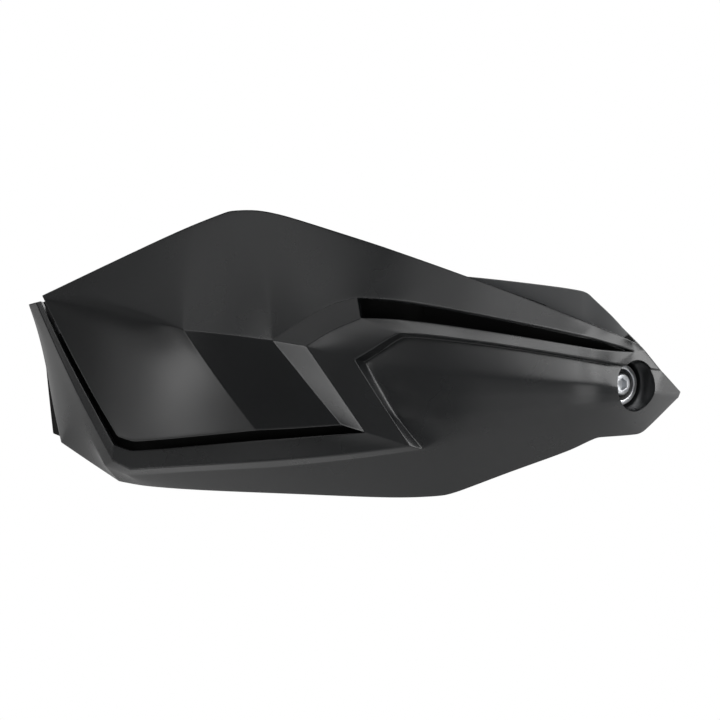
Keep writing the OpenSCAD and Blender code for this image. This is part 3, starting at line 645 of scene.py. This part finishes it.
ridge = [row[2] for row in cheek_rows]
shell_net = Net(shell_cells, soft_lines=[shoulder[2:], belly, lower_crease, face_row_1, face_row_2,
                                        step_foot[9:13]],
                hard_lines=[shoulder[:3], ridge])
polished_rows = [rows[k:k + 2] for rows in (cheek_rows, inboard_rows) for k in range(3)]
panel_cells = [cell for upper, lower in polished_rows for cell in strip(upper, lower)]
shell = moulding("main_shell_skin", shell_net, WALL, NOSE_EXTRA, second=panel_cells)
shell.data.materials.append(shell_plastic)
shell.data.materials.append(panel_plastic)

# The recess: a cone through the nose, then a cup behind it with the same inner cone
FLOOR_BACK, FLOOR_FRONT, MOUTH = 5.0, 7.5, 26.0
FLOOR_RADIUS, MOUTH_RADIUS = 10.0, 12.0
BOLT_CENTRE, BAR_AXIS = (0, 0, 0), (1, 0, 0)


def cone_radius(x):
    """Radius of the recess at x along the bar: a straight line from floor to mouth."""
    return FLOOR_RADIUS + (MOUTH_RADIUS - FLOOR_RADIUS) * (x - FLOOR_FRONT) / (MOUTH - FLOOR_FRONT)


# The cutter runs between these places along the bar, and is wider than the cone by the play
CUTTER_START, CUTTER_END, CUT_PLAY = 12, 40, 0.03
cut_by(shell, revolved(
    "recess_cutter",
    [(CUTTER_START, 0), (CUTTER_START, cone_radius(CUTTER_START) + CUT_PLAY),
     (CUTTER_END, cone_radius(CUTTER_END) + CUT_PLAY), (CUTTER_END, 0)],
    BOLT_CENTRE, BAR_AXIS, RECESS_STEPS))

# The mouth's edge is found on the cone, past a place along the bar, where the faces turn by an angle
MOUTH_START, MOUTH_TURN, MOUTH_ROUNDING = 13, 25, 0.35
NEAR_CONE = 0.02


def at_mouth(corner):
    """Whether a corner of the shell's mesh lies where the cutter's cone met the shell's face."""
    x, y, z = corner.co / MM
    return abs(math.hypot(y, z) - cone_radius(x) - CUT_PLAY) < NEAR_CONE and x > MOUTH_START


def rounded_mouth(piece):
    """Rounds the sharp edge that the recess cut leaves in the shell's face."""
    with edited(piece) as shape:
        weight = shape.edges.layers.float.new("bevel_weight_edge")
        for edge in shape.edges:
            sharp = len(edge.link_faces) == 2 and edge.calc_face_angle(0) > math.radians(MOUTH_TURN)
            if sharp and all(at_mouth(corner) for corner in edge.verts):
                edge[weight] = 1.0
    bevel = piece.modifiers.new("mouth", "BEVEL")
    bevel.limit_method = "WEIGHT"
    bevel.width = MOUTH_ROUNDING * MM
    bevel.segments = 3
    finished(piece)


rounded_mouth(shell)
smooth_faces(shell, RECESS_SHARP)
settle(shell, shell_plastic, "shell_plastic", "main_shell", "shell_nose")

CUP_WALL, SLEEVE_HOLE, BACK_CHAMFER = 2.5, 5.1, 1
# Floor's rounded corner as steps in from the wall and up from the floor, each with its middle
CORNER_IN, CORNER_IN_MIDDLE, CORNER_UP, CORNER_UP_MIDDLE = 1.2, 0.4, 1.2, 0.35
CUP_MIDDLE, CUP_RIM, RIM_WALL, CUP_SHOULDER = 14, 21.2, 0.6, 20
cup_inside = [
    (FLOOR_FRONT, SLEEVE_HOLE), (FLOOR_FRONT, FLOOR_RADIUS - CORNER_IN),
    (FLOOR_FRONT + CORNER_UP_MIDDLE, FLOOR_RADIUS - CORNER_IN_MIDDLE),
    (FLOOR_FRONT + CORNER_UP, cone_radius(FLOOR_FRONT + CORNER_UP)),
    (CUP_MIDDLE, cone_radius(CUP_MIDDLE)), (CUP_RIM, cone_radius(CUP_RIM))]
cup_outside = [
    (CUP_RIM, cone_radius(CUP_RIM) + RIM_WALL), (CUP_SHOULDER, cone_radius(CUP_SHOULDER) + CUP_WALL),
    (FLOOR_BACK + BACK_CHAMFER, cone_radius(FLOOR_BACK) + CUP_WALL),
    (FLOOR_BACK, cone_radius(FLOOR_BACK) + CUP_WALL - BACK_CHAMFER),
    (FLOOR_BACK, SLEEVE_HOLE), (FLOOR_FRONT, SLEEVE_HOLE)]
cup = revolved("recess_cup", cup_inside + cup_outside, BOLT_CENTRE, BAR_AXIS, RECESS_STEPS)
settle(smooth_faces(cup, TURNED_SHARP), shell_plastic, "shell_plastic", "shell_nose")

# How far behind the shell's front face a boss and its hole end
BOSS_ROOT, BOSS_HOLE_END = 2, 4
# Chamfers of the holes and pads, and of a boss's foot
CHAMFER, FOOT_CHAMFER = 0.3, 0.4


def boss(name, spot, foot, radius, hole):
    """Screw boss behind the shell: a tube from the relief foot up into the shell's wall, open at its foot."""
    s, z, front = spot
    top, bottom = front - BOSS_ROOT - foot, front - BOSS_HOLE_END - foot
    profile = [(bottom, 0), (bottom, hole), (CHAMFER, hole), (0, hole + CHAMFER), (0, radius - FOOT_CHAMFER),
               (FOOT_CHAMFER, radius), (top, radius), (top, 0)]
    piece = revolved(name, profile, place_of((s, z, foot)), outward_at(s), BOSS_STEPS)
    settle(smooth_faces(piece, TURNED_SHARP), shell_plastic, "shell_plastic", "main_shell")


def pad(name, spot, front, radius, hole, material, slot, node):
    """Screw pad on a plate: a disc a little proud of both faces, with its hole."""
    s, z, _ = spot
    back, face = -FRAME_WALL - PAD_PROUD, PAD_PROUD
    profile = [(back, hole), (back, radius - CHAMFER), (back + CHAMFER, radius), (face - CHAMFER, radius),
               (face, radius - CHAMFER), (face, hole), (back, hole)]
    piece = revolved(name, profile, place_of((s, z, front)), outward_at(s), BOSS_STEPS)
    settle(smooth_faces(piece, TURNED_SHARP), material, slot, node)


# Radius and hole of a boss and of the pad that it meets
FRAME_BOSS, FRAME_PAD = (3.5, 2.05), (4.5, 2.2)
DEFLECTOR_BOSS, DEFLECTOR_PAD = (3, 1.55), (4, 1.7)
for k, spot in enumerate(frame_bosses):
    boss("frame_boss_%d" % (k + 1), spot, FRAME_FRONT + PAD_PROUD, *FRAME_BOSS)
    pad("frame_pad_%d" % (k + 1), spot, FRAME_FRONT, *FRAME_PAD, frame_nylon, "frame_plastic", "inner_frame")
for k, spot in enumerate(deflector_bosses):
    boss("deflector_boss_%d" % (k + 1), spot, DEFLECTOR_FRONT + PAD_PROUD, *DEFLECTOR_BOSS)
    pad("deflector_pad_%d" % (k + 1), spot, DEFLECTOR_FRONT, *DEFLECTOR_PAD,
        deflector_plastic, "deflector_plastic", "wind_deflector")

# Wind deflector and inner frame

deflector_top = [
    (11.5, 18, -9), (0, 26.5, -10), (-9.5, 33, -10), (-20.5, 40, DEFLECTOR_FRONT),
    (-23, 42.5, DEFLECTOR_FRONT), (-28, 44, DEFLECTOR_FRONT), (-53, 47, DEFLECTOR_FRONT),
    (-83, 50, DEFLECTOR_FRONT), (-106, 51, DEFLECTOR_FRONT)]
deflector_bottom = [
    (8, 15, -9.5), (-2, 14.2, -11), (-10, 14.5, -11.5), (-20, 14, -10.7),
    (-25, 13.5, DEFLECTOR_FRONT), (-31, 14, DEFLECTOR_FRONT), (-58, 17, DEFLECTOR_FRONT),
    (-85, 20, DEFLECTOR_FRONT), (-106, 24, DEFLECTOR_FRONT)]
# Where the deflector's satin face ends and its painted shade begins, just above the shell's edge, so that it
# also paints a shadow line along that edge
painted_shade_edge = [
    (11.5, 16.6, -9), (0, 20.3, -10), (-9.5, 23.4, -10), (-20.5, 27.2, DEFLECTOR_FRONT),
    (-23, 28, DEFLECTOR_FRONT), (-28, 29.8, DEFLECTOR_FRONT), (-53, 39.8, DEFLECTOR_FRONT),
    (-83, 49.2, DEFLECTOR_FRONT), (-106, 50.2, DEFLECTOR_FRONT)]
deflector_cells = strip(deflector_top, painted_shade_edge) + strip(painted_shade_edge, deflector_bottom)
deflector = moulding("wind_deflector_skin", Net(deflector_cells), FRAME_WALL)
settle(smooth_faces(deflector), deflector_plastic, "deflector_plastic", "wind_deflector")


def painted_shade_below(piece, edge, material):
    """Gives the faces that lie below an edge of shell points another material."""
    line = placed(np.array(edge, float))
    order = np.argsort(line[:, 0])
    count = len(piece.data.polygons)
    middle = np.empty(count * 3)
    piece.data.polygons.foreach_get("center", middle)
    middle = middle.reshape(-1, 3)
    limit = np.interp(middle[:, 0], line[order, 0], line[order, 2])
    piece.data.materials.append(material)
    piece.data.polygons.foreach_set("material_index", (middle[:, 2] < limit).astype(np.int32))


# The deflector's faces below that edge take the near-black painted shade of the slot
painted_shade_below(deflector, painted_shade_edge, slot_painted_shade)

# The plate's upper inboard corner is 3.8 mm from the solid's, so that less background shows beside the vent
frame_rows = [
    [(-88, 42), (-120, 52), (-160, 58), (-200, 62), (-240, 57), (-285, 45), (-331, 36), (-352.2, 30.6)],
    [(-92, 10), (-118, 8), (-155, 6), (-195, 5), (-235, 4), (-280, 2), (-327, -1), (-352.3, 6.1)],
    [(-96, -20), (-116, -33), (-150, -44), (-190, -45), (-230, -46), (-275, -46), (-312, -42), (-344.3, -36)]]
frame_points = [[(s, z, FRAME_FRONT) for s, z in row] for row in frame_rows]
frame_cells = [cell for k in range(2) for cell in strip(frame_points[k], frame_points[k + 1])]
inner = moulding("inner_frame_skin", Net(frame_cells), FRAME_WALL)
settle(smooth_faces(inner), frame_nylon, "frame_plastic", "inner_frame")

# The bracket's seat: its station, relief, size and rounded edges, and its bolt holes across and up it
BRACKET_STATION, BRACKET_SEAT = -240, -22
SEAT_SIZE, SEAT_EDGE = (38, 36), 1.2
FLANGE_BOLTS, FLANGE_DROP = (-10, 10), -6
HOLE_RADIUS, HOLE_START, HOLE_END = 3.3, -1, 12


def seat_points(across, up, depth):
    """Places in mm on the bracket's seat: across it, up it, and forward of it."""
    out = outward_at(BRACKET_STATION)
    along = np.array([-out[1], out[0], 0])
    start = place_of((BRACKET_STATION, 0, BRACKET_SEAT))
    return start + across[..., None] * along + up[..., None] * np.array([0, 0, 1]) + depth[..., None] * out


corner = np.array([(-1, -1), (1, -1), (1, 1), (-1, 1)] * 2) * np.array(SEAT_SIZE) / 2
depth = np.repeat([0.0, FRAME_FRONT - BRACKET_SEAT], 4)
seat = new_piece("bracket_seat", seat_points(corner[:, 0], corner[:, 1], depth) * MM,
                 [(0, 1, 2, 3), (7, 6, 5, 4), (1, 0, 4, 5), (2, 1, 5, 6), (3, 2, 6, 7), (0, 3, 7, 4)])
faced_out(seat)
seat_edges = seat.modifiers.new("edges", "BEVEL")
seat_edges.width = SEAT_EDGE * MM
seat_edges.segments = 3
finished(seat)
hole_profile = [(HOLE_START, 0), (HOLE_START, HOLE_RADIUS), (HOLE_END, HOLE_RADIUS), (HOLE_END, 0)]
for side in FLANGE_BOLTS:
    middle = seat_points(np.array(float(side)), np.array(float(FLANGE_DROP)), np.array(0.0))
    cut_by(seat, revolved("bolt_hole", hole_profile, middle, outward_at(BRACKET_STATION)))
settle(smooth_faces(seat, TURNED_SHARP), frame_nylon, "frame_plastic", "inner_frame")

# Faces of a solid's copy that turn by less than this angle in degrees are joined
FLAT_TURN = 0.5


def eased(name, width_mm, material, slot):
    """Copy of a solid with its doubles merged, flat faces joined and edges rounded by a width."""
    piece = bpy.data.objects.new(name + "_eased", nodes[name].data.copy())
    bpy.context.scene.collection.objects.link(piece)
    flat = math.radians(FLAT_TURN)
    with edited(piece) as shape:
        bmesh.ops.remove_doubles(shape, verts=shape.verts, dist=DOUBLES * MM)
        bmesh.ops.dissolve_limit(shape, angle_limit=flat, verts=shape.verts, edges=shape.edges)
    bevel = piece.modifiers.new("eased", "BEVEL")
    bevel.width = width_mm * MM
    bevel.segments = 2
    bevel.limit_method = "ANGLE"
    bevel.angle_limit = math.radians(EASED_SHARP)
    finished(piece)
    settle(smooth_faces(piece, EASED_SHARP), material, slot, name)


for name in ("bar_end_bolt", "clamp_bolt_upper", "clamp_bolt_lower", "flange_bolt_outboard",
             "flange_bolt_inboard"):
    eased(name, 0.2, bolt_steel, "bolt_steel")
for name in ("clamp_nut_upper", "clamp_nut_lower", "pivot_bolt", "pivot_washer", "pivot_nut",
             "flange_nut_outboard", "flange_nut_inboard", "bar_end_sleeve", "expander_washer"):
    eased(name, 0.2, zinc_steel, "zinc_steel")
eased("cup_washer", 0.3, turned_aluminium, "cup_metal")
eased("bar_end_spacer", 0.4, turned_aluminium, "spacer_aluminium")
eased("cup_ring", 0.3, black_rubber, "ring_rubber")
eased("expander_rubber", 0.5, black_rubber, "expander_rubber")
eased("expander_nut", 0.4, nut_brass, "nut_brass")
for name in ("clamp_base", "clamp_cap", "bracket_arm"):
    eased(name, 0.6, powder_coat, "clamp_coated")
for k in range(6):
    eased("frame_screw_%d" % (k + 1), 0.15, black_oxide, "screw_black")
for k in range(3):
    eased("deflector_screw_%d" % (k + 1), 0.12, black_oxide, "screw_black")

# Stage: pale floor and a white surround

# Half the floor's width and how far it is below the object, in metres
FLOOR_HALF, FLOOR_DROP = 6, 0.3
floor_corners = np.array([(-1, -1), (1, -1), (1, 1), (-1, 1)]) * FLOOR_HALF
floor = new_piece("floor", [(x, y, -FLOOR_DROP) for x, y in floor_corners], [(0, 1, 2, 3)])
paper = bpy.data.materials.new("white paper floor")
paper.use_nodes = True
paper.node_tree.nodes.clear()
path = add(paper.node_tree, "ShaderNodeLightPath")
card = add(paper.node_tree, "ShaderNodeBsdfDiffuse", {"Color": linear("#e6e6e6")})
glow = add(paper.node_tree, "ShaderNodeEmission", {"Color": (1, 1, 1, 1), "Strength": 1.0})
seen = add(paper.node_tree, "ShaderNodeMixShader", {},
           [("Fac", path, "Is Camera Ray"), (1, card, "BSDF"), (2, glow, "Emission")])
add(paper.node_tree, "ShaderNodeOutputMaterial", {}, [("Surface", seen, "Shader")])
floor.data.materials.append(paper)

ROOM_LIGHT = 0.14
world = bpy.data.worlds.new("white surround")
bpy.context.scene.world = world
world.use_nodes = True
world.node_tree.nodes.clear()
rays = add(world.node_tree, "ShaderNodeLightPath")
room = add(world.node_tree, "ShaderNodeBackground", {"Color": (1, 1, 1, 1), "Strength": ROOM_LIGHT})
white = add(world.node_tree, "ShaderNodeBackground", {"Color": (1, 1, 1, 1), "Strength": 1.0})
split = add(world.node_tree, "ShaderNodeMixShader", {},
            [("Fac", rays, "Is Camera Ray"), (1, room, "Background"), (2, white, "Background")])
add(world.node_tree, "ShaderNodeOutputWorld", {}, [("Surface", split, "Shader")])

# Lamps: softboxes that all face one place on the guard, most of them at one distance in metres. Their
# directions and radiances come from fits to the photograph's light and dark areas, not from a plain level.
LIGHT_TARGET = Vector((-90, -95, 5)) * MM
LAMP_DISTANCE, FAR_LAMP_DISTANCE = 1.2, 1.4


def looking_at(name, data, target, azimuth, elevation, distance):
    """An object with its data at a distance from a target, facing it from a direction in degrees."""
    a, e = math.radians(azimuth), math.radians(elevation)
    way = Vector((math.sin(a) * math.cos(e), -math.cos(a) * math.cos(e), math.sin(e)))
    holder = bpy.data.objects.new(name, data)
    holder.location = target + way * distance
    holder.rotation_euler = (-way).to_track_quat("-Z", "Y").to_euler()
    bpy.context.scene.collection.objects.link(holder)
    return holder


def softbox(name, azimuth, elevation, width, height, radiance, distance=LAMP_DISTANCE):
    """Area lamp with sides in metres; its power is radiance times pi times its area."""
    lamp = bpy.data.lights.new(name, "AREA")
    lamp.shape = "RECTANGLE"
    lamp.size = width
    lamp.size_y = height
    lamp.energy = radiance * math.pi * width * height
    looking_at(name, lamp, LIGHT_TARGET, azimuth, elevation, distance).visible_camera = False


# Upper panel, cheek and shoulder
softbox("panel_front", -20, 38, 0.42, 0.42, 0.78)
softbox("panel_side", -38, 31, 0.5, 0.42, 0.22)
softbox("panel_right", 26, 54, 0.5, 0.38, 0.75)
softbox("cheek_low", -27, -14, 0.26, 0.25, 3.0)
softbox("cheek_side", -36, -8, 0.29, 0.29, 0.5)
softbox("shoulder_side", -38, 14, 0.29, 0.42, 0.18)
# Frame band, nose and upper lip
softbox("band_front", 18, 34, 0.5, 0.25, 3.4)
softbox("band_middle", 40, 34, 0.5, 0.25, 3.0)
softbox("band_side", 60, 34, 0.5, 0.25, 4.2)
softbox("band_end", 82, 34, 0.5, 0.3, 4.2)
softbox("nose_top", 104, 34, 0.5, 0.4, 5.5)
softbox("nose_end", 126, 17, 0.6, 0.45, 5.0)
softbox("lip_top", 66, 52, 0.5, 0.34, 1.8)
# Step, outboard face, nose from the side and inboard return wall
softbox("low_front", -13, 9, 0.25, 0.25, 1.2)
softbox("step_top", -5, 20, 0.34, 0.2, 2.6)
softbox("face_side", 44, -10, 0.7, 0.5, 0.6)
softbox("end_side", 76, -3, 0.5, 0.44, 2.0)
softbox("nose_side", 147, 2, 0.4, 0.5, 5.0)
softbox("nose_back", 170, -3, 0.55, 0.5, 1.2)
softbox("step_line", -9, -42, 0.6, 0.12, 4.0, FAR_LAMP_DISTANCE)
softbox("inboard_side", -84, -16, 0.64, 0.5, 0.5)
# The guard's back
softbox("back_outboard", 205, 30, 0.9, 0.6, 2.6, FAR_LAMP_DISTANCE)
softbox("back_inboard", 262, 24, 0.9, 0.6, 2.2, FAR_LAMP_DISTANCE)

camera = looking_at("camera", bpy.data.cameras.new("camera"), VIEW_CENTRE, VIEW_AZIMUTH, VIEW_ELEVATION,
                    VIEW_DISTANCE)
camera.data.lens = LENS
camera.data.sensor_width = SENSOR_WIDTH
bpy.context.scene.camera = camera
bpy.context.scene.view_settings.view_transform = "Standard"
